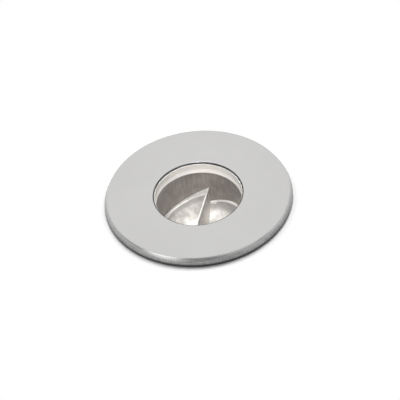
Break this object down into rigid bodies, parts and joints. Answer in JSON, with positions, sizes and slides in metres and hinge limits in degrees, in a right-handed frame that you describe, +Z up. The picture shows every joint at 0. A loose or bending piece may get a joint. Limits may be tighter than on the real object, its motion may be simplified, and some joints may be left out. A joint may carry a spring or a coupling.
{
  "type": "in-ground light",
  "caption": "Round walk-over ground light: steel cover ring, flush clear lens over a deep stepped reflector, sealed lamp housing that lifts out of a buried sleeve.",
  "frame": {"origin": "centre of the foot of the buried sleeve", "axes": "+Z up along the lamp's axis, from the buried foot to the cover ring; +X towards the open conduit entry"},
  "size_m": [0.09, 0.09, 0.101],
  "materials": {
    "stainless": "fine turned satin",
    "fastener_steel": "plain",
    "black_rubber": "matt",
    "pale_silicone": "matt",
    "clear_glass": "polished, clear",
    "cast_aluminium": "blasted casting",
    "dark_anodised": "dark satin",
    "bright_reflector": "bright anodised",
    "white_board": "solder mask",
    "green_board": "solder mask",
    "source_white": "ceramic package",
    "source_yellow": "clear over phosphor",
    "grey_pad": "matt",
    "black_plastic": "moulded, fine texture",
    "ferrite": "pressed ferrite and tape",
    "capacitor_can": "plain",
    "terminal_green": "moulded",
    "plain_brass": "turned",
    "red_lead": "wire sleeving",
    "black_lead": "wire sleeving"
  },
  "bodies": {
    "sleeve": {"ground_sleeve": "black_plastic", "drain_base": "black_plastic", "base_screws": "fastener_steel", "entry_plug": "black_rubber"},
    "trim": {"trim_ring": "stainless", "lens_bead": "black_rubber"},
    "optic": {"turntable": "cast_aluminium", "thermal_pad": "grey_pad", "led_board": "white_board", "optic_screws": "fastener_steel", "glare_tube": "dark_anodised", "reflector": "bright_reflector", "led_packages": "source_white", "led_domes": "source_yellow"},
    "lamp": {"lens_collar": "pale_silicone", "glass_lens": "clear_glass", "clamp_frame": "cast_aluminium", "clamp_screws": "fastener_steel", "snap_cord": "black_rubber", "rim_seal": "black_rubber", "lamp_housing": "cast_aluminium", "retaining_springs": "fastener_steel", "spring_screws": "fastener_steel", "driver_board": "green_board", "driver_standoffs": "plain_brass", "driver_screws": "fastener_steel", "driver_transformer": "ferrite", "driver_capacitors": "capacitor_can", "terminal_block": "terminal_green", "terminal_screws": "plain_brass", "lead_positive": "red_lead", "lead_negative": "black_lead", "back_cover": "cast_aluminium", "cover_seal": "black_rubber", "cover_screws": "fastener_steel", "vent_plug": "black_plastic", "gland_body": "black_plastic", "gland_washer": "black_rubber", "gland_locknut": "black_plastic", "gland_nut": "black_plastic", "gland_seal": "black_rubber"}
  },
  "joints": [
    {"name": "lamp_lift", "type": "slide", "parent": "sleeve", "child": "lamp", "axis": [0, 0, 1], "range_m": [0, 0.084]},
    {"name": "trim_lift", "type": "slide", "parent": "lamp", "child": "trim", "axis": [0, 0, 1], "range_m": [0, 0.012]},
    {"name": "optic_turn", "type": "hinge", "parent": "lamp", "child": "optic", "pos_m": [0, 0, 0.06], "axis": [0, 0, 1], "range_deg": [-175, 175]}
  ]
}
